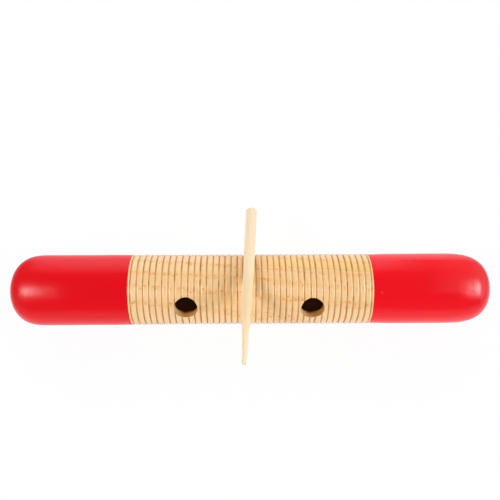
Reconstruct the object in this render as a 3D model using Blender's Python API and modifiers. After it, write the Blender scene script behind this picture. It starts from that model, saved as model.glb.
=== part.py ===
"""Tube guiro: a turned wooden tube with scraping grooves, two domed end caps and a loose scraper.

The tube lies along X on the table plane z = 0, with the middle of its length over the origin.
The scraper lies across the ridges at its point of balance, its thick end to the back, and slides along X.
"""

import math

import bpy
from mathutils import Matrix, Vector

# Driving dimensions, in metres and degrees

BODY_DIAMETER = 0.0442        # over the ridges and over the caps, which are turned flush
FIT_GAP = 0.0003              # clearance between pieces that are glued or that touch
TURNING_SIDES = 32            # flats around the tube and the caps, one of them facing the table

TUBE_LENGTH = 0.148           # bare wood between the caps
BORE_DIAMETER = 0.032         # sound chamber
GROOVE_PITCH = 0.0037
GROOVE_WIDTH = 0.0012
GROOVE_DEPTH = 0.0009
GROOVE_END_LAND = 0.0016      # least plain wood between a tube end and the middle of a groove

HOLE_DIAMETER = 0.014         # sound holes, drilled through the front wall only
HOLE_SPACING = 0.0768
HOLE_PAIR_SHIFT = -0.001      # the pair is drilled a little to the left of the middle
HOLE_TILT = 50.0              # from straight up towards the front
HOLE_SIDES = 28
DRILL_OVERRUN = 0.01          # how far the drill runs past the outside of the tube

CAP_LENGTH = 0.0757           # from the joint to the tip of the dome
LEFT_DOME_LENGTH = 0.0238
RIGHT_DOME_LENGTH = 0.0252
DOME_END_FULLNESS = 2.7       # 2 is a round end, more is blunter
DOME_SIDE_FULLNESS = 2.2
DOME_STEPS = 9
SPIGOT_LENGTH = 0.014         # turned tongue of the cap, glued in the bore
SPIGOT_CHAMFER = 0.001

SCRAPER_LENGTH = 0.110
SCRAPER_BUTT_DIAMETER = 0.0073
SCRAPER_SHOULDER_DIAMETER = 0.0065
SCRAPER_TIP_DIAMETER = 0.0027
SCRAPER_POINT_LENGTH = 0.048  # from the shoulder to the tip
SCRAPER_BUTT_ROUND = 0.0012
SCRAPER_TIP_ROUND = 0.0004
SCRAPER_SHOULDER_BLEND = 0.012
SCRAPER_SIDES = 16
EDGE_STEPS = 4                # chords in each rounded edge of the scraper
SCRAPER_BALANCE = 0.0439      # from the butt to where it lies on the tube
SCRAPER_LEAN = 17.0           # fall of the butt end towards the back
SCRAPER_TURN = -2.9           # turned in the plane that touches the ridges
SCRAPER_REST_X = -0.0013      # where it crosses the tube

# What follows from them

BODY_RADIUS = BODY_DIAMETER / 2
BORE_RADIUS = BORE_DIAMETER / 2
HALF_TUBE = TUBE_LENGTH / 2
AXIS_HEIGHT = BODY_RADIUS * math.cos(math.pi / TURNING_SIDES)

RIGHT = Matrix.Rotation(math.radians(90), 4, "Y")    # turning axis Z laid along +X
LEFT = Matrix.Rotation(math.radians(-90), 4, "Y")    # turning axis Z laid along -X


def clear_scene():
    for old in list(bpy.data.objects):
        bpy.data.objects.remove(old, do_unlink=True)


def new_collection(name):
    made = bpy.data.collections.new(name)
    bpy.context.scene.collection.children.link(made)
    return made


def new_material(name, colour, roughness):
    made = bpy.data.materials.new(name)
    made.use_nodes = True
    shader = made.node_tree.nodes["Principled BSDF"]
    shader.inputs["Base Color"].default_value = (*colour, 1.0)
    shader.inputs["Roughness"].default_value = roughness
    shader.inputs["Metallic"].default_value = 0.0
    return made


def rounding(centre_radius, centre_height, size, start, end):
    """Arc of a turned profile, from the start angle to the end angle, 0 out and 90 up."""
    angles = [start + (end - start) * i / EDGE_STEPS for i in range(EDGE_STEPS + 1)]
    return [
        (
            centre_radius + size * math.cos(math.radians(a)),
            centre_height + size * math.sin(math.radians(a)),
        )
        for a in angles
    ]


def turn(name, profile, sides, ring, material, collection):
    """Turns a profile of (radius, height) points, listed down its outer side, about Z.

    A ring profile closes on itself, and any other starts and ends on the axis. The profile stands
    half a step round, so that a flat and not an edge faces along X.
    """
    half_step = math.pi / sides
    points = [(r * math.cos(half_step), r * math.sin(half_step), z) for r, z in profile]
    edges = [(i, i + 1) for i in range(len(points) - 1)]
    if ring:
        edges.append((len(points) - 1, 0))
    line = bpy.data.meshes.new(name + "_profile")
    line.from_pydata(points, edges, [])
    blank = bpy.data.objects.new(name + "_blank", line)
    collection.objects.link(blank)
    screw = blank.modifiers.new("turning", "SCREW")
    screw.axis = "Z"
    screw.angle = math.tau
    screw.steps = sides
    screw.render_steps = sides
    screw.use_merge_vertices = True
    screw.merge_threshold = 0.00001
    turned = bpy.data.meshes.new_from_object(
        blank.evaluated_get(bpy.context.evaluated_depsgraph_get())
    )
    turned.name = name
    turned.materials.append(material)
    turned.shade_smooth()
    turned.set_sharp_from_angle(angle=math.radians(30))
    bpy.data.objects.remove(blank, do_unlink=True)
    bpy.data.meshes.remove(line)
    piece = bpy.data.objects.new(name, turned)
    collection.objects.link(piece)
    return piece


def groove_middles():
    """Heights of the groove middles along the tube, top first, as many as the bare wood takes."""
    room = TUBE_LENGTH - 2 * GROOVE_END_LAND
    gaps = int(room / GROOVE_PITCH)
    return [GROOVE_PITCH * (gaps / 2 - i) for i in range(gaps + 1)]


def grooved_tube(material, parts, cutters):
    """Tube with V grooves all round, a plain bore, and two sound holes through its front wall."""
    outside = [(BODY_RADIUS, HALF_TUBE)]
    for middle in groove_middles():
        outside.append((BODY_RADIUS, middle + GROOVE_WIDTH / 2))
        outside.append((BODY_RADIUS - GROOVE_DEPTH, middle))
        outside.append((BODY_RADIUS, middle - GROOVE_WIDTH / 2))
    outside.append((BODY_RADIUS, -HALF_TUBE))
    bore = [(BORE_RADIUS, -HALF_TUBE), (BORE_RADIUS, HALF_TUBE)]
    tube = turn("grooved_tube", outside + bore, TURNING_SIDES, True, material, parts)
    tube.matrix_world = Matrix.Translation((0, 0, AXIS_HEIGHT)) @ RIGHT
    for side, label in ((-1, "left"), (1, "right")):
        cutter = sound_hole_cutter(label, side, cutters)
        drill = tube.modifiers.new(label + "_sound_hole", "BOOLEAN")
        drill.operation = "DIFFERENCE"
        drill.solver = "EXACT"
        drill.object = cutter
    return tube


def sound_hole_cutter(label, side, cutters):
    """Drill that runs from the tube's axis out past its front wall."""
    reach = BODY_RADIUS + DRILL_OVERRUN
    tilt = math.radians(HOLE_TILT)
    outward = Vector((0, -math.sin(tilt), math.cos(tilt)))
    start = Vector((HOLE_PAIR_SHIFT + side * HOLE_SPACING / 2, 0, AXIS_HEIGHT))
    bpy.ops.mesh.primitive_cylinder_add(
        vertices=HOLE_SIDES,
        radius=HOLE_DIAMETER / 2,
        depth=reach,
        location=start + outward * reach / 2,
        rotation=(tilt, 0, 0),
    )
    cutter = bpy.context.object
    cutter.name = label + "_sound_hole_cutter"
    for holder in list(cutter.users_collection):
        holder.objects.unlink(cutter)
    cutters.objects.link(cutter)
    cutter.hide_render = True
    cutter.display_type = "WIRE"
    return cutter


def end_cap(name, dome_length, placing, material, parts):
    """Solid cap: a blunt dome, a straight side flush with the ridges, and a spigot for the bore."""
    joint = HALF_TUBE + FIT_GAP
    tip = joint + CAP_LENGTH
    dome = []
    for i in range(DOME_STEPS + 1):
        u = math.pi / 2 * (1 - i / DOME_STEPS)
        along = max(math.sin(u), 0.0) ** (2 / DOME_END_FULLNESS)
        out = max(math.cos(u), 0.0) ** (2 / DOME_SIDE_FULLNESS)
        dome.append((BODY_RADIUS * out, tip - dome_length * (1 - along)))
    dome[0] = (0.0, tip)
    spigot_radius = BORE_RADIUS - FIT_GAP
    spigot_end = joint - SPIGOT_LENGTH
    inner = [
        (BODY_RADIUS, joint),
        (spigot_radius, joint),
        (spigot_radius, spigot_end + SPIGOT_CHAMFER),
        (spigot_radius - SPIGOT_CHAMFER, spigot_end),
        (0.0, spigot_end),
    ]
    cap = turn(name, dome + inner, TURNING_SIDES, False, material, parts)
    cap.matrix_world = Matrix.Translation((0, 0, AXIS_HEIGHT)) @ placing
    return cap


def scraper_radius(from_butt):
    """Radius of the scraper: a nearly straight grip, then a cone, blended at the shoulder."""
    grip = SCRAPER_LENGTH - SCRAPER_POINT_LENGTH
    butt = SCRAPER_BUTT_DIAMETER / 2
    shoulder = SCRAPER_SHOULDER_DIAMETER / 2
    grip_slope = (shoulder - butt) / grip
    point_slope = (SCRAPER_TIP_DIAMETER / 2 - shoulder) / SCRAPER_POINT_LENGTH
    past = from_butt - grip
    width = SCRAPER_SHOULDER_BLEND / 2
    if past <= -width:
        bend = 0.0
    elif past >= width:
        bend = past
    else:
        bend = (past + width) ** 2 / (4 * width)
    return butt + grip_slope * from_butt + (point_slope - grip_slope) * bend


def scraper_stick(material, parts):
    """Tapered stick, laid across the ridges at its point of balance."""
    lean = math.radians(SCRAPER_LEAN)
    swing = math.radians(SCRAPER_TURN)
    away = Vector((0, math.sin(lean), math.cos(lean)))
    uphill = Vector((0, -math.cos(lean), math.sin(lean)))
    along = math.cos(swing) * uphill + math.sin(swing) * Vector((1, 0, 0))
    off_axis = BODY_RADIUS + FIT_GAP + scraper_radius(SCRAPER_BALANCE)
    touch = Vector((SCRAPER_REST_X, 0, AXIS_HEIGHT)) + away * off_axis

    tip_radius = scraper_radius(SCRAPER_LENGTH)
    butt_radius = scraper_radius(SCRAPER_BUTT_ROUND)
    grip = SCRAPER_LENGTH - SCRAPER_POINT_LENGTH
    blend = SCRAPER_SHOULDER_BLEND / 2
    profile = [(0.0, SCRAPER_LENGTH)]
    profile += rounding(
        tip_radius - SCRAPER_TIP_ROUND, SCRAPER_LENGTH - SCRAPER_TIP_ROUND, SCRAPER_TIP_ROUND, 90, 0
    )
    for station in (grip + blend, grip, grip - blend):
        profile.append((scraper_radius(station), station))
    profile += rounding(
        butt_radius - SCRAPER_BUTT_ROUND, SCRAPER_BUTT_ROUND, SCRAPER_BUTT_ROUND, 0, -90
    )
    profile.append((0.0, 0.0))
    profile = [(r, z - SCRAPER_BALANCE) for r, z in profile]
    stick = turn("scraper_stick", profile, SCRAPER_SIDES, False, material, parts)

    slide = bpy.data.objects.new("scraper_slide", None)
    slide.empty_display_size = 0.01
    slide.location = touch
    parts.objects.link(slide)
    stick.parent = slide
    toward_tube = -away
    sideways = along.cross(toward_tube)
    stick.rotation_euler = Matrix((toward_tube, sideways, along)).transposed().to_euler()
    return stick


clear_scene()
parts = new_collection("tube_guiro")
cutters = new_collection("tube_guiro_cutters")
bare_wood = new_material("bare_wood", (0.93, 0.70, 0.40), 0.55)
red_lacquer = new_material("red_lacquer", (0.76, 0.012, 0.018), 0.18)
pale_wood = new_material("pale_wood", (0.96, 0.78, 0.55), 0.6)
grooved_tube(bare_wood, parts, cutters)
end_cap("left_end_cap", LEFT_DOME_LENGTH, LEFT, red_lacquer, parts)
end_cap("right_end_cap", RIGHT_DOME_LENGTH, RIGHT, red_lacquer, parts)
scraper_stick(pale_wood, parts)
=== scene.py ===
import math

import bpy
import numpy as np
from mathutils import Matrix, Vector


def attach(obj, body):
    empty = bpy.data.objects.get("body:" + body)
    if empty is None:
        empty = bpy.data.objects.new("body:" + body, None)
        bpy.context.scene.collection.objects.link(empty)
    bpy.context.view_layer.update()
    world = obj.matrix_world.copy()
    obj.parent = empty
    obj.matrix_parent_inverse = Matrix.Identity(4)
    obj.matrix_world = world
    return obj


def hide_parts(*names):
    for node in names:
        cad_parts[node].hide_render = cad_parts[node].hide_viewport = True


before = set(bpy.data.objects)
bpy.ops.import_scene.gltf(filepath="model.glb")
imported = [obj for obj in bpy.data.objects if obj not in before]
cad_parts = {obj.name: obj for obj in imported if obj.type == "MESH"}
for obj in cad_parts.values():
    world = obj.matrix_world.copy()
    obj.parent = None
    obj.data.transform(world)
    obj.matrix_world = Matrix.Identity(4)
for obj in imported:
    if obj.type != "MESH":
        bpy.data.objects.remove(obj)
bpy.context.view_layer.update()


# The grooved tube is one length of pale hardwood, bored and turned on a lathe and thinly sealed.
# Forty scraping grooves run all round it, a little unevenly because they are cut by hand, and two
# sound holes are drilled through its front wall. The caps are glued into its ends.

axis_height = 0.02219
turning_sides = 128
tube_half_length = 0.074
ridge_radius = 0.02206
ridge_crown = 0.00005
bore_radius = 0.0165
bore_steps = 25
groove_count = 40
groove_pitch = 0.0037
groove_depth = 0.00085
groove_half_width = 0.0004
groove_sharpness = 1.3
hole_radius = 0.0071
hole_middles = (-0.0394, 0.0374)
hole_tilts = (math.radians(48.8), math.radians(50.9))
hole_easing = 0.0003


def turned_mesh(name, stations, radii, ring):
    """Turns a profile about the tube's axis, as a lathe does.

    A point at angle a on station i stands at x = station, y = radius times sin a, and
    z = axis height plus radius times cos a. The profile runs from right to left along its outside.
    A ring profile closes on itself, and any other is closed by a pole at each end.
    """
    angles = np.arange(turning_sides) * (2 * np.pi / turning_sides)
    x = np.repeat(stations[:, None], turning_sides, axis=1)
    y = radii[:, None] * np.sin(angles)
    z = axis_height + radii[:, None] * np.cos(angles)
    points = np.stack([x, y, z], axis=-1).reshape(-1, 3)
    return grid_mesh(name, points, len(stations), turning_sides, ring)


def grid_mesh(name, points, rows, sides, ring):
    """Joins rows of points into quads, each row closed on itself, with poles if it isn't a ring.

    A pole is the mean of the points of the first or the last row.
    """
    i, j = np.meshgrid(np.arange(rows if ring else rows - 1), np.arange(sides), indexing="ij")
    near = i * sides
    far = ((i + 1) % rows) * sides
    step = (j + 1) % sides
    quads = np.stack([near + j, near + step, far + step, far + j], axis=-1).reshape(-1, 4)
    faces = quads.tolist()
    if not ring:
        first = points[:sides].mean(axis=0)
        last = points[-sides:].mean(axis=0)
        turn = np.arange(sides)
        start = np.full(sides, len(points))
        tail = (rows - 1) * sides
        faces += np.stack([start, (turn + 1) % sides, turn], axis=-1).tolist()
        faces += np.stack([start + 1, tail + turn, tail + (turn + 1) % sides], axis=-1).tolist()
        points = np.vstack([points, first, last])
    mesh = bpy.data.meshes.new(name)
    mesh.from_pydata(points.tolist(), [], faces)
    mesh.shade_smooth()
    return mesh


def add_object(name, mesh):
    """Puts a mesh into the scene, at the origin."""
    made = bpy.data.objects.new(name, mesh)
    bpy.context.scene.collection.objects.link(made)
    return made


def groove_middles(uneven):
    """Middles of the grooves from right to left.

    An even row is squeezed a little and steps over by a tanh near its left end, and each groove is off
    its place by a small random amount.
    """
    row_shift = 0.0001
    row_squeeze = 0.006
    step_over = 0.00095
    step_place = -0.046
    step_reach = 0.013
    slip = 0.00011
    most_slip = 0.00022
    even = groove_pitch * ((groove_count - 1) / 2 - np.arange(groove_count))
    row = even + row_shift + step_over * np.tanh((even - step_place) / step_reach) - row_squeeze * even
    return row + np.clip(uneven.normal(0, slip, groove_count), -most_slip, most_slip)


def groove_profile():
    """Outside of the tube from right to left, as stations and radii.

    Each groove takes its depth times exp(-(distance / half width) ^ sharpness) off the ridge radius.
    The crown takes off its height times the squared cosine of the way from a groove to the middle of
    a ridge. Two slow sines are left by the lathe, and the tube's ends are chamfered.
    """
    depth_spread = 0.12
    width_spread = 0.1
    end_chamfer = 0.0004
    chamfer_slope = 0.6
    half_groove = 0.001 * np.array([1.2, 0.85, 0.62, 0.46, 0.32, 0.2, 0.08])
    end_stations = tube_half_length * np.array([1, 0.9985, 0.9955])
    uneven = np.random.default_rng(11)
    middles = groove_middles(uneven)
    depths = groove_depth * (1 + uneven.uniform(-depth_spread, depth_spread, groove_count))
    widths = groove_half_width * (1 + uneven.uniform(-width_spread, width_spread, groove_count))
    stations = (middles[:, None] + np.concatenate([half_groove, -half_groove])).reshape(-1)
    stations = np.concatenate([end_stations, stations, -end_stations])
    stations = np.unique(stations)[::-1]
    away = np.abs(stations[:, None] - middles)
    dips = depths * np.exp(-((away / widths) ** groove_sharpness))
    crown = ridge_crown * np.cos(np.pi * np.clip(away.min(axis=1) / groove_pitch, 0, 0.5)) ** 2
    waves = 0.00003 * np.sin(stations * 61 + 0.7) + 0.00002 * np.sin(stations * 173)
    radii = ridge_radius - dips.sum(axis=1) - crown + waves
    chamfer = np.clip(np.abs(stations) - tube_half_length + end_chamfer, 0, 1)
    return stations, radii - chamfer * chamfer_slope


def sound_hole_drill(middle, tilt):
    """Drill for one sound hole, with a mouth that eases the rim.

    At angle a the rim stands sqrt(R^2 - (r sin a)^2) out from the tube's axis. The drill is straight
    up to the easing, flares in a quarter round that follows the rim, and ends outside the tube.
    """
    sides = 112
    shank_heights = np.array([0.010, 0.0125, 0.015, 0.018])
    mouth_spread = np.array([0.0021, 0.0021])
    mouth_rise = np.array([0.0006, 0.004])
    flare = np.radians([0, 15, 30, 45, 60, 72])
    angles = np.arange(sides) * (2 * np.pi / sides)
    shank = np.zeros(len(shank_heights))
    spread = np.concatenate([shank, hole_easing * (1 - np.cos(flare)), mouth_spread])
    sunk = np.concatenate([shank, hole_easing * (1 - np.sin(flare)), -mouth_rise])
    radius = hole_radius + spread
    rim = np.sqrt(ridge_radius**2 - (radius[:, None] * np.sin(angles)) ** 2)
    height = rim - sunk[:, None]
    height[: len(shank)] = shank_heights[:, None]
    outward = np.array([0, -math.sin(tilt), math.cos(tilt)])
    across = np.array([0, -math.cos(tilt), -math.sin(tilt)])
    along = np.array([1.0, 0, 0])
    turn = np.cos(angles)[:, None] * along + np.sin(angles)[:, None] * across
    points = height[:, :, None] * outward + radius[:, None, None] * turn
    points = points + np.array([middle, 0, axis_height])
    return grid_mesh("sound_hole_drill", points[::-1].reshape(-1, 3), len(radius), sides, False)


outside_stations, outside_radii = groove_profile()
tube_stations = np.concatenate(
    [outside_stations, np.linspace(-tube_half_length, tube_half_length, bore_steps)]
)
tube_radii = np.concatenate([outside_radii, np.full(bore_steps, bore_radius)])
blank = add_object("tube_blank", turned_mesh("tube_blank", tube_stations, tube_radii, True))
drills = []
for hole_middle, hole_tilt in zip(hole_middles, hole_tilts):
    drill = add_object("sound_hole_drill", sound_hole_drill(hole_middle, hole_tilt))
    cut = blank.modifiers.new("sound_hole", "BOOLEAN")
    cut.operation = "DIFFERENCE"
    cut.solver = "EXACT"
    cut.object = drill
    drills.append(drill)
drilled = blank.evaluated_get(bpy.context.evaluated_depsgraph_get())
tube_mesh = bpy.data.meshes.new_from_object(drilled)
for tool in [blank] + drills:
    bpy.data.objects.remove(tool, do_unlink=True)
tube_mesh.name = "turned_tube"
tube_mesh.shade_smooth()
tube_mesh.set_sharp_from_angle(angle=math.radians(50))
turned_tube = add_object("turned_tube", tube_mesh)


def set_sockets(tree, node, sockets):
    """Links each socket that is given another socket, and sets each one that is given a value."""
    for name, value in sockets.items():
        if isinstance(value, bpy.types.NodeSocket):
            tree.links.new(value, node.inputs[name])
        else:
            node.inputs[name].default_value = value


def add_node(tree, kind, sockets=None, **settings):
    """Adds a node with its settings, and links or sets its sockets."""
    made = tree.nodes.new(kind)
    for name, value in settings.items():
        setattr(made, name, value)
    set_sockets(tree, made, sockets or {})
    return made


def add_math(tree, operation, *values):
    """Adds a Math node and returns its result."""
    return add_node(tree, "ShaderNodeMath", dict(enumerate(values)), operation=operation).outputs[0]


def times(tree, first, *others):
    """Product of two or more values."""
    product = first
    for other in others:
        product = add_math(tree, "MULTIPLY", product, other)
    return product


def linear(tree, value, slope, start):
    """Slope times a value, plus a start."""
    return add_math(tree, "MULTIPLY_ADD", value, slope, start)


def ease(tree, value, start, end):
    """Smooth step that goes from 0 at start to 1 at end."""
    sockets = {"Value": value, "From Min": start, "From Max": end}
    return add_node(tree, "ShaderNodeMapRange", sockets, interpolation_type="SMOOTHSTEP").outputs[0]


def band(tree, value, low_end, low, high, high_end):
    """1 from low to high, easing to 0 at the ends on either side."""
    return times(tree, ease(tree, value, low_end, low), ease(tree, value, high_end, high))


def blend_colour(tree, factor, first, second, blend_type="MIX"):
    """Mixes two colours by a factor."""
    sockets = {0: factor, 6: first, 7: second}
    made = add_node(tree, "ShaderNodeMix", sockets, data_type="RGBA", blend_type=blend_type)
    return made.outputs[2]


def axes(tree, place):
    """X, Y and Z of a place."""
    return tuple(add_node(tree, "ShaderNodeSeparateXYZ", {0: place}).outputs)


def distance_from(tree, place, point):
    """Distance of a place from a fixed point."""
    sockets = {0: place, 1: point}
    return add_node(tree, "ShaderNodeVectorMath", sockets, operation="DISTANCE").outputs["Value"]


def noise_along(tree, distance, scale, detail):
    """Noise that changes along one axis only, as the marks of a lathe do."""
    sockets = {"W": distance, "Scale": scale, "Detail": detail}
    return add_node(tree, "ShaderNodeTexNoise", sockets, noise_dimensions="1D").outputs[0]


def noise_at(tree, place, scale, detail):
    """Noise that changes in all directions."""
    sockets = {"Vector": place, "Scale": scale, "Detail": detail}
    return add_node(tree, "ShaderNodeTexNoise", sockets).outputs[0]


def bumped(tree, height, strength, distance):
    """Normal of a surface that a height disturbs."""
    sockets = {"Strength": strength, "Distance": distance, "Height": height}
    return add_node(tree, "ShaderNodeBump", sockets).outputs[0]


def start_material(name):
    """Makes a material, and returns it with its node tree, its shader and the Object coordinates."""
    material = bpy.data.materials.new(name)
    material.use_nodes = True
    tree = material.node_tree
    place = add_node(tree, "ShaderNodeTexCoord").outputs["Object"]
    return material, tree, tree.nodes["Principled BSDF"], place


def wood_figure():
    """Group for wood whose grain runs along X and whose growth rings are stacked along Y.

    Rings are soft bands of late wood. Fibres are streaks along the grain, and pores are dots that
    gather in the late wood. Blotches are larger and softer.
    """
    pore_scale = 430.0
    pore_edge = (0.6, 0.12)
    pore_strength = (0.1, 0.7)
    late_wood = (0.50, 0.80, 0.86, 1.0)
    pore_gather = (0.05, 0.5)
    group = bpy.data.node_groups.new("wood_figure", "ShaderNodeTree")
    face = group.interface
    face.new_socket("Position", in_out="INPUT", socket_type="NodeSocketVector")
    face.new_socket("Ring Spacing", in_out="INPUT", socket_type="NodeSocketFloat")
    face.new_socket("Wander", in_out="INPUT", socket_type="NodeSocketFloat")
    for name in ("Rings", "Fibres", "Pores", "Blotches"):
        face.new_socket(name, in_out="OUTPUT", socket_type="NodeSocketFloat")
    given = group.nodes.new("NodeGroupInput").outputs
    result = group.nodes.new("NodeGroupOutput")

    def streaks(stretch, detail):
        """Noise drawn out along the grain."""
        sockets = {0: given["Position"], 1: stretch}
        drawn = add_node(group, "ShaderNodeVectorMath", sockets, operation="MULTIPLY").outputs[0]
        sockets = {"Vector": drawn, "Scale": 1.0, "Detail": detail, "Roughness": 0.55}
        return add_node(group, "ShaderNodeTexNoise", sockets).outputs[0]

    across = axes(group, given["Position"])[1]
    slow = add_math(group, "SUBTRACT", streaks((9, 60, 60), 2), 0.5)
    bent = linear(group, slow, given["Wander"], across)
    ring = add_math(group, "FRACT", add_math(group, "DIVIDE", bent, given["Ring Spacing"]))
    rings = band(group, ring, *late_wood)
    sockets = {"Vector": given["Position"], "Scale": pore_scale}
    cells = add_node(group, "ShaderNodeTexVoronoi", sockets).outputs
    strength = add_node(group, "ShaderNodeSeparateColor", {0: cells["Color"]}).outputs[0]
    dots = times(group, ease(group, cells["Distance"], *pore_edge), ease(group, strength, *pore_strength))
    set_sockets(group, result, {
        "Rings": rings,
        "Fibres": streaks((45, 1500, 1500), 3),
        "Pores": times(group, dots, ease(group, rings, *pore_gather)),
        "Blotches": streaks((26, 150, 150), 2),
    })
    return group


wood_figure_group = wood_figure()


def figured(tree, grain, ring_spacing, wander):
    """Places the wood figure in a material."""
    sockets = {"Position": grain, "Ring Spacing": ring_spacing, "Wander": wander}
    return add_node(tree, "ShaderNodeGroup", sockets, node_tree=wood_figure_group).outputs


def ridge_colour(tree, place, grain, figure, marks):
    """Sanded wood: its figure, a yellow band with a dark edge at the back on the right, and painted shadow
    of the scraper in a brown patch that is partly real orange wood.
    """
    pale = (0.945, 0.652, 0.362, 1)
    tan = (0.87, 0.52, 0.205, 1)
    yellow = (0.90, 0.565, 0.18, 1)
    edge_brown = (0.70, 0.40, 0.15, 1)
    # painted shadow: brown of the patch left of the scraper, partly real orange wood
    shadow_stain_brown = (0.74, 0.38, 0.11, 1)
    pore_brown = (0.82, 0.37, 0.08, 1)
    shadow_stain_place = (-0.0145, -0.0105, 0.0415)
    shadow_stain_reach = (0.0125, 0.004)
    tone = linear(tree, figure["Rings"], 0.7, ease(tree, figure["Fibres"], 0.3, 0.8))
    tone = linear(tree, ease(tree, figure["Blotches"], 0.4, 0.75), 0.6, tone)
    tone = linear(tree, ease(tree, marks, 0.3, 0.7), 0.8, tone)
    colour = blend_colour(tree, times(tree, tone, 0.38), pale, tan)

    across = axes(tree, grain)[1]
    right_half = ease(tree, axes(tree, place)[0], -0.03, 0.012)
    yellow_band = linear(tree, ease(tree, across, 0.003, 0.009), -0.6, 0.85)
    yellow_band = times(tree, yellow_band, ease(tree, across, -0.0002, 0.0003), right_half)
    colour = blend_colour(tree, yellow_band, colour, yellow)
    edge = times(tree, band(tree, across, -0.0006, -0.0002, 0.0, 0.0004), right_half, 0.45)
    colour = blend_colour(tree, edge, colour, edge_brown)

    # Painted shadow: a brown patch deepens the scraper's shadow left of it, partly real orange wood.
    away = linear(tree, figure["Blotches"], 0.006, distance_from(tree, place, shadow_stain_place))
    shadow_stain = times(tree, ease(tree, away, *shadow_stain_reach), 0.45)
    colour = blend_colour(tree, shadow_stain, colour, shadow_stain_brown)
    return blend_colour(tree, figure["Pores"], colour, pore_brown)


def scorch_colour(tree, place, y, up, radius):
    """Brown left in the grooves by the hot cutter, darker in patches, and painted paler where the grooves
    face up and to the front, as painted light reaching into them.
    """
    brown = (0.66, 0.34, 0.10, 1)
    lit_groove_brown = (0.82, 0.47, 0.17, 1)
    dark_brown = (0.56, 0.27, 0.075, 1)
    # Painted light: grooves facing up and to the front are painted paler, as if lit into their depth.
    groove_lit_side = linear(tree, up, 0.96, times(tree, y, -0.28))
    groove_lit_share = ease(tree, add_math(tree, "DIVIDE", groove_lit_side, radius), 0.75, 0.99)
    patches = ease(tree, noise_at(tree, place, 230.0, 0.0), 0.45, 0.75)
    return blend_colour(tree, patches, blend_colour(tree, groove_lit_share, brown, lit_groove_brown), dark_brown)


def hole_wall_colour(tree, x, radius):
    """Raw wood in the sound holes: darker towards the bore, and painted palest on the left flank of each
    hole as painted light falling in there.

    The right hole is cut into redder wood on its right flank.
    """
    wall = (0.92, 0.49, 0.16, 1)
    deep_wall = (0.52, 0.25, 0.08, 1)
    red_wall = (0.69, 0.31, 0.075, 1)
    lit_pale_wall = (1.0, 0.70, 0.34, 1)
    deep = ease(tree, radius, bore_radius + 0.0022, bore_radius + 0.0003)
    on_right = add_math(tree, "GREATER_THAN", x, 0.0)
    middle = linear(tree, on_right, hole_middles[1] - hole_middles[0], hole_middles[0])
    from_middle = add_math(tree, "SUBTRACT", x, middle)
    right_flank = times(tree, ease(tree, from_middle, -0.0005, 0.003), on_right)
    # Painted light: the left flank of each hole is painted pale where light falls in.
    lit_left_flank = ease(tree, from_middle, -0.0012, -0.0048)
    colour = blend_colour(tree, deep, wall, deep_wall)
    colour = blend_colour(tree, right_flank, colour, red_wall)
    return blend_colour(tree, lit_left_flank, colour, lit_pale_wall)


def bare_wood():
    """Pale sealed hardwood, scorched brown in the grooves and left raw and dark in the bore.

    The ridges come first. The grooves, the walls of the holes and the bore are laid over them by
    their distance from the tube's axis, and the sealer stays on the ridges only.
    """
    grain_shift = (0, -0.0095, 0)
    grain_turn = (0, 0, math.radians(4.5))
    bore_brown = (0.55, 0.36, 0.24, 1)
    sealer = 0.75
    material, tree, shader, place = start_material("bare_wood")
    x, y, z = axes(tree, place)
    sockets = {"Vector": place, "Location": grain_shift, "Rotation": grain_turn}
    grain = add_node(tree, "ShaderNodeMapping", sockets).outputs[0]
    figure = figured(tree, grain, 0.0089, 0.006)
    marks = noise_along(tree, x, 1500.0, 2.0)

    up = add_math(tree, "SUBTRACT", z, axis_height)
    radius = add_math(tree, "SQRT", linear(tree, up, up, times(tree, y, y)))
    groove = ease(tree, radius, ridge_radius - 0.0001, ridge_radius - 0.0006)
    wall = ease(tree, radius, ridge_radius - 0.0010, ridge_radius - 0.0013)
    bore = ease(tree, radius, bore_radius + 0.0004, bore_radius + 0.0001)
    colour = ridge_colour(tree, place, grain, figure, marks)
    colour = blend_colour(tree, groove, colour, scorch_colour(tree, place, y, up, radius))
    colour = blend_colour(tree, wall, colour, hole_wall_colour(tree, x, radius))
    colour = blend_colour(tree, bore, colour, bore_brown)

    height = linear(tree, figure["Pores"], -0.6, add_math(tree, "ADD", figure["Fibres"], marks))
    set_sockets(tree, shader, {
        "Base Color": colour,
        "Roughness": linear(tree, figure["Fibres"], 0.16, 0.22),
        "Coat Weight": linear(tree, groove, -sealer, sealer),
        "Coat Roughness": 0.16,
        "Normal": bumped(tree, height, 0.25, 0.00008),
    })
    return material


turned_tube.data.materials.clear()
turned_tube.data.materials.append(bare_wood())
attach(turned_tube, "guiro_body")
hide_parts("grooved_tube")


# The two end caps are turned from solid wood with a blunt dome and a spigot that is glued in the bore.
# They are dipped in red gloss lacquer, which keeps faint rings from the lathe under it and stands
# a fraction proud of the ridges. The right dome is slightly longer than the left.

cap_radius = 0.02218
cap_joint = 0.07402
cap_tip = 0.14995
left_dome = {"length": 0.0251, "end": 3.25, "side": 2.0, "taper": 0.00012, "taper_length": 0.015}
right_dome = {"length": 0.0322, "end": 3.4, "side": 2.7, "taper": 0.00042, "taper_length": 0.026}
cap_edge_round = 0.0003
spigot_radius = 0.0157
spigot_length = 0.014
spigot_chamfer = 0.001


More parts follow.
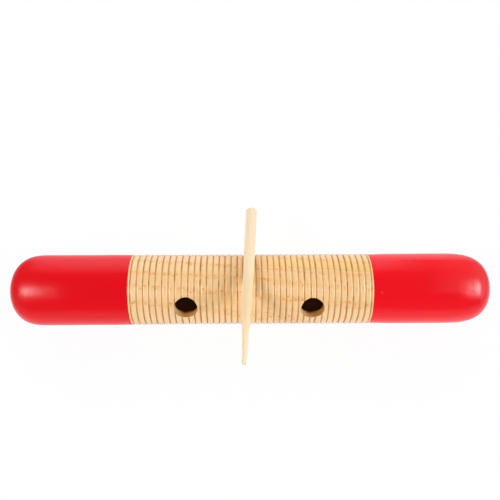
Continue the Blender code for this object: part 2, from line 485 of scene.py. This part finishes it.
def cap_profile(dome):
    """Cap from its tip to the end of its spigot, as distances from the tube's middle and radii.

    The dome is a superellipse: along = sin(u) ^ (2 / end fullness), out = cos(u) ^ (2 / side fullness).
    The side narrows to the joint by a taper times the square of the share of its length. It carries a
    shallow unevenness of two slow sines, and the joint edge is rounded.
    """
    dome_steps = 72
    side_steps = 40
    shoulder = 0.002
    u = np.pi / 2 * (1 - np.linspace(0.004, 1, dome_steps) ** 1.1)
    along = np.sin(u) ** (2 / dome["end"])
    out = np.clip(np.cos(u), 0, 1) ** (2 / dome["side"])
    dome_stations = cap_tip - dome["length"] * (1 - along)
    side_end = cap_joint + cap_edge_round
    side_stations = np.linspace(cap_tip - dome["length"], side_end, side_steps)[1:]
    stations = np.concatenate([dome_stations, side_stations])
    radii = np.concatenate([cap_radius * out, np.full(side_steps - 1, cap_radius)])
    uneven = 0.00002 * (np.sin(stations * 240) + np.sin(stations * 97 + 1.0) - 2)
    radii = radii + uneven * (radii / cap_radius) ** 4
    near_joint = np.clip(1 - (stations - cap_joint) / dome["taper_length"], 0, 1)
    radii = radii - dome["taper"] * near_joint**2
    turn = np.radians(np.linspace(0, 90, 6))[1:]
    edge_stations = cap_joint + cap_edge_round * (1 - np.sin(turn))
    edge_radii = radii[-1] - cap_edge_round * (1 - np.cos(turn))
    spigot_end = cap_joint - spigot_length
    spigot_stations = [cap_joint, cap_joint, spigot_end + spigot_chamfer, spigot_end, spigot_end]
    spigot_radii = [
        spigot_radius + shoulder, spigot_radius, spigot_radius, spigot_radius - spigot_chamfer, shoulder
    ]
    stations = np.concatenate([stations, edge_stations, spigot_stations])
    radii = np.concatenate([radii, edge_radii, spigot_radii])
    return stations, radii


def lathe_lines(tree, x):
    """Height of the fine rings that the lathe left on the domes.

    It is a sum of cubed sines of fixed spacing, drifted a little by noise. The rings grow towards the
    domes, stop short of the tips, and end earlier on the right dome, whose end is smoother.
    """
    spacings = (0.00093, 0.00041, 0.00023)
    shares = (0.385, 0.565, 0.317)
    drift = 0.0004
    on_side = 0.06
    grow = (0.104, 0.140)
    stop = (0.1495, 0.1445)
    right_stop = (0.1402, 0.1335)
    right_extra = 0.12
    drifted = linear(tree, noise_along(tree, x, 160.0, 1.0), drift, x)
    height = 0.0
    for spacing, share in zip(spacings, shares):
        wave = add_math(tree, "SINE", times(tree, drifted, 2 * math.pi / spacing))
        height = linear(tree, times(tree, wave, wave, wave), share, height)
    out = add_math(tree, "ABSOLUTE", x)
    strength = linear(tree, ease(tree, out, *grow), 1 - on_side, on_side)
    strength = times(tree, strength, ease(tree, out, *stop), ease(tree, x, *right_stop))
    strength = times(tree, strength, linear(tree, ease(tree, x, 0.0, 0.1), right_extra, 1.0))
    return times(tree, height, strength)


def red_lacquer():
    """Gloss red lacquer over turned wood, with fine rings from the lathe that draw out reflections.

    The red is painted a little brighter on the right cap, as painted light for the stronger light there,
    and darker again towards the right dome's tip, as painted shade. The coat is faintly clouded, and
    has one pale speck.
    """
    left_red = (0.765, 0.0058, 0.0115, 1)
    right_lit_red = (0.85, 0.0078, 0.0145, 1)
    right_tip_shaded_red = (0.75, 0.0070, 0.0135, 1)
    speck_colour = (0.72, 0.06, 0.05, 1)
    speck_place = (0.0789, -0.0088, 0.0420)
    speck_edge = (0.0009, 0.0004)
    material, tree, shader, place = start_material("red_lacquer")
    x = axes(tree, place)[0]
    cloud = noise_at(tree, place, 70.0, 3.0)
    # Painted light: the right cap's red is brighter for the stronger light falling there.
    colour = blend_colour(tree, ease(tree, x, -0.05, 0.05), left_red, right_lit_red)
    # Painted shade: the red darkens again towards the right dome's tip.
    colour = blend_colour(tree, ease(tree, x, 0.127, 0.146), colour, right_tip_shaded_red)
    colour = blend_colour(tree, 1.0, colour, linear(tree, cloud, -0.08, 1.04), "MULTIPLY")
    speck = ease(tree, distance_from(tree, place, speck_place), *speck_edge)
    set_sockets(tree, shader, {
        "Base Color": blend_colour(tree, speck, colour, speck_colour),
        "Roughness": linear(tree, cloud, 0.03, 0.085),
        "IOR": 1.5,
        "Normal": bumped(tree, lathe_lines(tree, x), 1.0, 0.000016),
    })
    return material


lacquer = red_lacquer()
right_stations, right_radii = cap_profile(right_dome)
left_stations, left_radii = cap_profile(left_dome)
right_mesh = turned_mesh("lacquered_right_cap", right_stations, right_radii, False)
left_mesh = turned_mesh("lacquered_left_cap", -left_stations[::-1], left_radii[::-1], False)
for cap_mesh, cap_node in ((left_mesh, "left_end_cap"), (right_mesh, "right_end_cap")):
    cap_mesh.set_sharp_from_angle(angle=math.radians(50))
    cap_mesh.materials.append(lacquer)
    cap = add_object(cap_mesh.name, cap_mesh)
    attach(cap, "guiro_body")
    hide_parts(cap_node)


# The scraper is a loose stick of pale wood, turned with a nearly straight grip and a long point.
# It is sanded and rubbed with a thin satin wax, and lies across the ridges at its point of balance.

scraper_sides = 56
scraper_length = 0.10999
scraper_butt_radius = 0.0036
scraper_shoulder_radius = 0.0032
scraper_tip_radius = 0.0013
scraper_grip = 0.062
scraper_butt_round = 0.0012
scraper_tip_round = 0.0004
scraper_shoulder_blend = 0.006
scraper_balance = 0.0439
scraper_lean = math.radians(17)
scraper_turn = math.radians(-2.8)
scraper_rest_x = -0.0012
scraper_pivot_height = 0.021994
scraper_pivot_gap = 0.0224


def scraper_radius(from_butt):
    """Radius along the stick: a straight grip and a cone, joined by a parabola over the shoulder."""
    grip_slope = (scraper_shoulder_radius - scraper_butt_radius) / scraper_grip
    point_slope = (scraper_tip_radius - scraper_shoulder_radius) / (scraper_length - scraper_grip)
    past = from_butt - scraper_grip
    eased = (past + scraper_shoulder_blend) ** 2 / (4 * scraper_shoulder_blend)
    bend = np.where(past < -scraper_shoulder_blend, 0, eased)
    bend = np.where(past > scraper_shoulder_blend, past, bend)
    return scraper_butt_radius + grip_slope * from_butt + (point_slope - grip_slope) * bend


def scraper_mesh():
    """Stick turned about its own axis, from its tip to its butt.

    A point stands on the axis at its distance from the butt, plus its radius times cos a away from the
    tube and sin a sideways. Both ends are quarter rounds of their own size.
    """
    turn = np.radians(np.linspace(4, 90, 9))
    tip_stations = scraper_length - scraper_tip_round * (1 - np.cos(turn))
    tip_radii = scraper_radius(tip_stations) - scraper_tip_round * (1 - np.sin(turn))
    butt_stations = scraper_butt_round * (1 - np.cos(turn))
    butt_radii = scraper_radius(butt_stations) - scraper_butt_round * (1 - np.sin(turn))
    middle = np.linspace(scraper_length - scraper_tip_round, scraper_butt_round, 70)[1:-1]
    wavy = 0.00002 * np.sin(middle * 190) + 0.000015 * np.sin(middle * 430 + 2)
    stations = np.concatenate([tip_stations, middle, butt_stations[::-1]])
    radii = np.concatenate([tip_radii, scraper_radius(middle) + wavy, butt_radii[::-1]])
    away = np.array([0, math.sin(scraper_lean), math.cos(scraper_lean)])
    uphill = np.array([0, -math.cos(scraper_lean), math.sin(scraper_lean)])
    axis = math.cos(scraper_turn) * uphill + math.sin(scraper_turn) * np.array([1.0, 0, 0])
    sideways = np.cross(axis, away)
    rest = np.array([scraper_rest_x, 0, scraper_pivot_height])
    rest = rest + away * (scraper_pivot_gap + float(scraper_radius(np.array(scraper_balance))))
    angles = np.arange(scraper_sides) * (2 * np.pi / scraper_sides)
    ring = np.cos(angles)[:, None] * away + np.sin(angles)[:, None] * sideways
    points = rest + (stations - scraper_balance)[:, None, None] * axis + radii[:, None, None] * ring
    return grid_mesh("tapered_scraper", points.reshape(-1, 3), len(stations), scraper_sides, False)


def pale_wood():
    """Waxed pale wood, with faint rings and fibres along the stick, painted darker and warmer over the
    front of the tube, as painted shade and warm light thrown up from the tube.
    """
    cream = (0.92, 0.745, 0.49, 1)
    straw = (0.895, 0.695, 0.425, 1)
    pore_brown = (0.72, 0.43, 0.19, 1)
    tube_bounce_brown = (0.87, 0.62, 0.325, 1)
    grain_turn = (scraper_lean, 0, math.radians(90) + scraper_turn)
    material, tree, shader, place = start_material("pale_wood")
    grain = add_node(tree, "ShaderNodeMapping", {"Vector": place, "Rotation": grain_turn}).outputs[0]
    figure = figured(tree, grain, 0.0023, 0.002)
    tone = ease(tree, linear(tree, figure["Rings"], 0.5, figure["Fibres"]), 0.3, 1.1)
    colour = blend_colour(tree, tone, cream, straw)
    colour = blend_colour(tree, times(tree, figure["Pores"], 0.12), colour, pore_brown)
    # Painted shade and painted warm bounce light where the stick passes over the front of the tube.
    tube_bounce_shade = band(tree, axes(tree, place)[1], -0.040, -0.024, -0.010, 0.010)
    set_sockets(tree, shader, {
        "Base Color": blend_colour(tree, times(tree, tube_bounce_shade, 0.55), colour, tube_bounce_brown),
        "Roughness": linear(tree, figure["Fibres"], 0.15, 0.36),
        "Coat Weight": 0.9,
        "Coat Roughness": 0.38,
        "Normal": bumped(tree, figure["Fibres"], 0.3, 0.00006),
    })
    return material


stick_mesh = scraper_mesh()
stick_mesh.set_sharp_from_angle(angle=math.radians(60))
stick_mesh.materials.append(pale_wood())
tapered_scraper = add_object("tapered_scraper", stick_mesh)
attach(tapered_scraper, "scraper")
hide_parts("scraper_stick")


# The table is a plain white sheet, large enough to fill the view from any side.
# It keeps the object's soft shadows, and most of its white is its own so that it stays white.

table_half_size = 2.0
table_corners = table_half_size * np.array([[-1, -1, 0], [1, -1, 0], [1, 1, 0], [-1, 1, 0]])
table_mesh = bpy.data.meshes.new("white_table")
table_mesh.from_pydata(table_corners.tolist(), [], [[0, 1, 2, 3]])
table = add_object("white_table", table_mesh)


def mirrored_sheet(tree, place):
    """Tone of the sheet as the lacquer mirrors it.

    It is dimmer beside the tube at the back, past the tube's ends and far in front, brightest along
    the tube's front, and painted pink under the caps, as painted red light that the lacquer throws on it.
    """
    cool = (0.99, 0.98, 1.08, 1)
    red_bounce_pink = (1.16, 0.86, 0.92, 1)
    x, y, _ = axes(tree, place)
    out = add_math(tree, "ABSOLUTE", x)
    beside = ease(tree, linear(tree, y, -0.4, out), 0.10, 0.18)
    beside = times(tree, beside, ease(tree, y, 0.0, 0.06))
    past_ends = linear(tree, ease(tree, x, 0.17, 0.23), 0.4, ease(tree, x, -0.16, -0.215))
    past_ends = times(tree, past_ends, band(tree, y, -0.12, -0.03, 0.05, 0.12))
    dim = add_math(tree, "MAXIMUM", beside, past_ends)
    dim = times(tree, dim, linear(tree, ease(tree, x, -0.05, 0.05), -0.38, 0.9))
    strip = times(tree, add_math(tree, "SUBTRACT", 1.0, dim), ease(tree, y, -0.6, -0.1))
    front = linear(tree, ease(tree, y, -0.10, -0.015), 0.6, 0.55)
    front = linear(tree, ease(tree, y, 0.0, 0.03), -0.2, front)
    front = times(tree, front, linear(tree, ease(tree, x, -0.05, 0.15), 0.2, 1.0))
    seen = linear(tree, times(tree, strip, front), 0.62, 0.05)
    near_tube = ease(tree, add_math(tree, "ABSOLUTE", y), 0.08, 0.03)
    # Painted light: a pink pool under the caps for the red light the lacquer throws on the sheet.
    red_bounce_under_caps = times(tree, ease(tree, out, 0.07, 0.09), near_tube)
    return blend_colour(tree, 1.0, seen, blend_colour(tree, red_bounce_under_caps, cool, red_bounce_pink), "MULTIPLY")


def white_sheet():
    """White paper that the camera sees mostly as plain white, with a share of its shadows kept.

    Reflections see the tone of the mirrored sheet, and the light that it throws on the object is
    lifted a little.
    """
    plain_share = 0.93
    thrown_light = 0.16
    paper_white = (0.98, 0.98, 0.98, 1)
    material, tree, shader, place = start_material("white_sheet")
    material.cycles.emission_sampling = "NONE"
    tree.nodes.remove(shader)
    path = add_node(tree, "ShaderNodeLightPath").outputs
    mirrored = add_math(tree, "MAXIMUM", path["Is Glossy Ray"], path["Is Transmission Ray"])
    shown = blend_colour(tree, mirrored, (1, 1, 1, 1), mirrored_sheet(tree, place))
    paper = add_node(tree, "ShaderNodeBsdfDiffuse", {"Color": paper_white}).outputs[0]
    plain = add_node(tree, "ShaderNodeEmission", {"Color": shown, "Strength": 1.0}).outputs[0]
    share = linear(tree, path["Is Camera Ray"], plain_share, mirrored)
    mixed = add_node(tree, "ShaderNodeMixShader", {0: share, 1: paper, 2: plain}).outputs[0]
    lift = times(tree, path["Is Diffuse Ray"], thrown_light)
    lifted = add_node(tree, "ShaderNodeEmission", {"Strength": lift}).outputs[0]
    surface = add_node(tree, "ShaderNodeAddShader", {0: mixed, 1: lifted}).outputs[0]
    set_sockets(tree, tree.nodes["Material Output"], {"Surface": surface})
    return material


table.data.materials.append(white_sheet())


# The light is two large soft boxes, above on the left and lower on the right, both a little in front.
# White surroundings fill in from behind and from low in front, and the lacquer mirrors a white sweep
# behind the tube and a soft glow around each box.

left_direction = (-0.645, -0.282, 0.71)
right_direction = (0.83, -0.185, 0.525)


def soft_box(name, direction, distance, width, height, peak):
    """Adds a rectangular lamp that faces the middle of the tube from the given direction.

    At shares u and v of its width and height, counted from -1 to 1, its brightness is the peak times
    0.9 s^5 + 0.1 s, with s = (1 - u^2) (1 - v^2), so that it has a hot middle and no edge. Its width
    lies square to the tube.
    """
    lamp = bpy.data.lights.new(name, "AREA")
    lamp.shape = "RECTANGLE"
    lamp.size = width
    lamp.size_y = height
    lamp.energy = peak * 4 * width * height
    lamp.use_nodes = True
    tree = lamp.node_tree
    u, v, _ = axes(tree, add_node(tree, "ShaderNodeNewGeometry").outputs["Parametric"])
    share = 1.0
    for part in (u, v):
        offset = linear(tree, part, 2.0, -1.0)
        bowl = add_math(tree, "SUBTRACT", 1.0, times(tree, offset, offset))
        share = times(tree, share, add_math(tree, "MAXIMUM", bowl, 0.0))
    hump = linear(tree, add_math(tree, "POWER", share, 5.0), 0.9, times(tree, share, 0.1))
    set_sockets(tree, tree.nodes["Emission"], {"Strength": hump})
    box = bpy.data.objects.new(name, lamp)
    toward = Vector(direction).normalized()
    box.location = Vector((0, 0, axis_height)) + toward * distance
    across = Vector((1, 0, 0)).cross(toward).normalized()
    box.rotation_euler = Matrix((across, toward.cross(across), toward)).transposed().to_euler()
    box.visible_camera = False
    bpy.context.scene.collection.objects.link(box)


soft_box("left_soft_box", left_direction, distance=2.2, width=2.2, height=1.58, peak=9.75)
soft_box("right_soft_box", right_direction, distance=2.2, width=2.85, height=1.5, peak=8.5)


def white_surroundings():
    """World that is white to the camera, lights the object softly, and has its own mirror image.

    With x, y and z of a direction, and low = 1 - z, the fill is the sum of a part from behind, a part
    from the front that falls off as low cubed, a part from the sides, a trace all round and a share
    of the right glow. The mirror image is a pale sweep over a dark room, which reaches higher further
    behind, plus the glow on the right and a halo around the left box.
    """
    dark_room = (0.02, 0.02, 0.02, 1)
    pale_sweep = (0.69, 0.72, 0.84, 1)
    sweep_width = (-0.58, -0.22, 0.20, 0.32)
    trace = 0.03
    world = bpy.data.worlds.new("white_surroundings")
    world.use_nodes = True
    world.cycles.sampling_method = "NONE"
    tree = world.node_tree
    direction = add_node(tree, "ShaderNodeTexCoord").outputs["Generated"]
    x, y, z = axes(tree, direction)
    behind = add_math(tree, "MAXIMUM", y, 0.0)
    ahead = add_math(tree, "MAXIMUM", times(tree, y, -1.0), 0.0)
    low = add_math(tree, "SUBTRACT", 1.0, z)

    glow = times(tree, ease(tree, x, 0.31, 0.37), ease(tree, y, -0.58, -0.36))
    glow = times(tree, glow, linear(tree, y, -0.40, 0.60), linear(tree, x, 1.0, 0.62))
    sockets = {0: direction, 1: left_direction}
    toward_left = add_node(tree, "ShaderNodeVectorMath", sockets, operation="DOT_PRODUCT").outputs["Value"]
    halo = times(tree, ease(tree, toward_left, 0.74, 0.92), ease(tree, x, -0.28, -0.42))

    fill = times(tree, behind, linear(tree, low, 1.75, 0.92))
    fill = times(tree, fill, linear(tree, ease(tree, x, 0.05, 0.6), -0.3, 1.0))
    low_front = times(tree, ahead, add_math(tree, "POWER", low, 3.0))
    fill = add_math(tree, "ADD", fill, linear(tree, low_front, 2.05, trace))
    fill = linear(tree, times(tree, add_math(tree, "ABSOLUTE", x), low), 0.25, fill)
    fill = linear(tree, glow, 0.35, fill)

    sweep_top = linear(tree, behind, 1.5, 0.03)
    sweep = ease(tree, add_math(tree, "DIVIDE", z, sweep_top), 1.0, 0.1)
    sweep = times(tree, sweep, band(tree, x, *sweep_width))
    image = blend_colour(tree, sweep, dark_room, pale_sweep)
    image = blend_colour(tree, 1.0, image, linear(tree, halo, 0.33, glow), "ADD")

    path = add_node(tree, "ShaderNodeLightPath").outputs
    mirrored = add_math(tree, "MAXIMUM", path["Is Glossy Ray"], path["Is Transmission Ray"])
    light = blend_colour(tree, mirrored, fill, image)
    light = blend_colour(tree, path["Is Camera Ray"], light, (1, 1, 1, 1))
    set_sockets(tree, tree.nodes["Background"], {"Color": light, "Strength": 1.0})
    return world


bpy.context.scene.world = white_surroundings()


# The camera looks steeply down from the front, as the photograph does, with the tube low in the frame.

camera_data = bpy.data.cameras.new("camera")
camera_data.sensor_width = 36.0
camera_data.lens = 43.85
camera_data.clip_start = 0.01
camera = bpy.data.objects.new("camera", camera_data)
camera.location = (-0.00513, -0.11551, 0.39226)
camera.rotation_euler = (math.radians(21.012), math.radians(-0.590), math.radians(-0.499))
bpy.context.scene.collection.objects.link(camera)
bpy.context.scene.camera = camera
bpy.context.scene.view_settings.view_transform = "Standard"
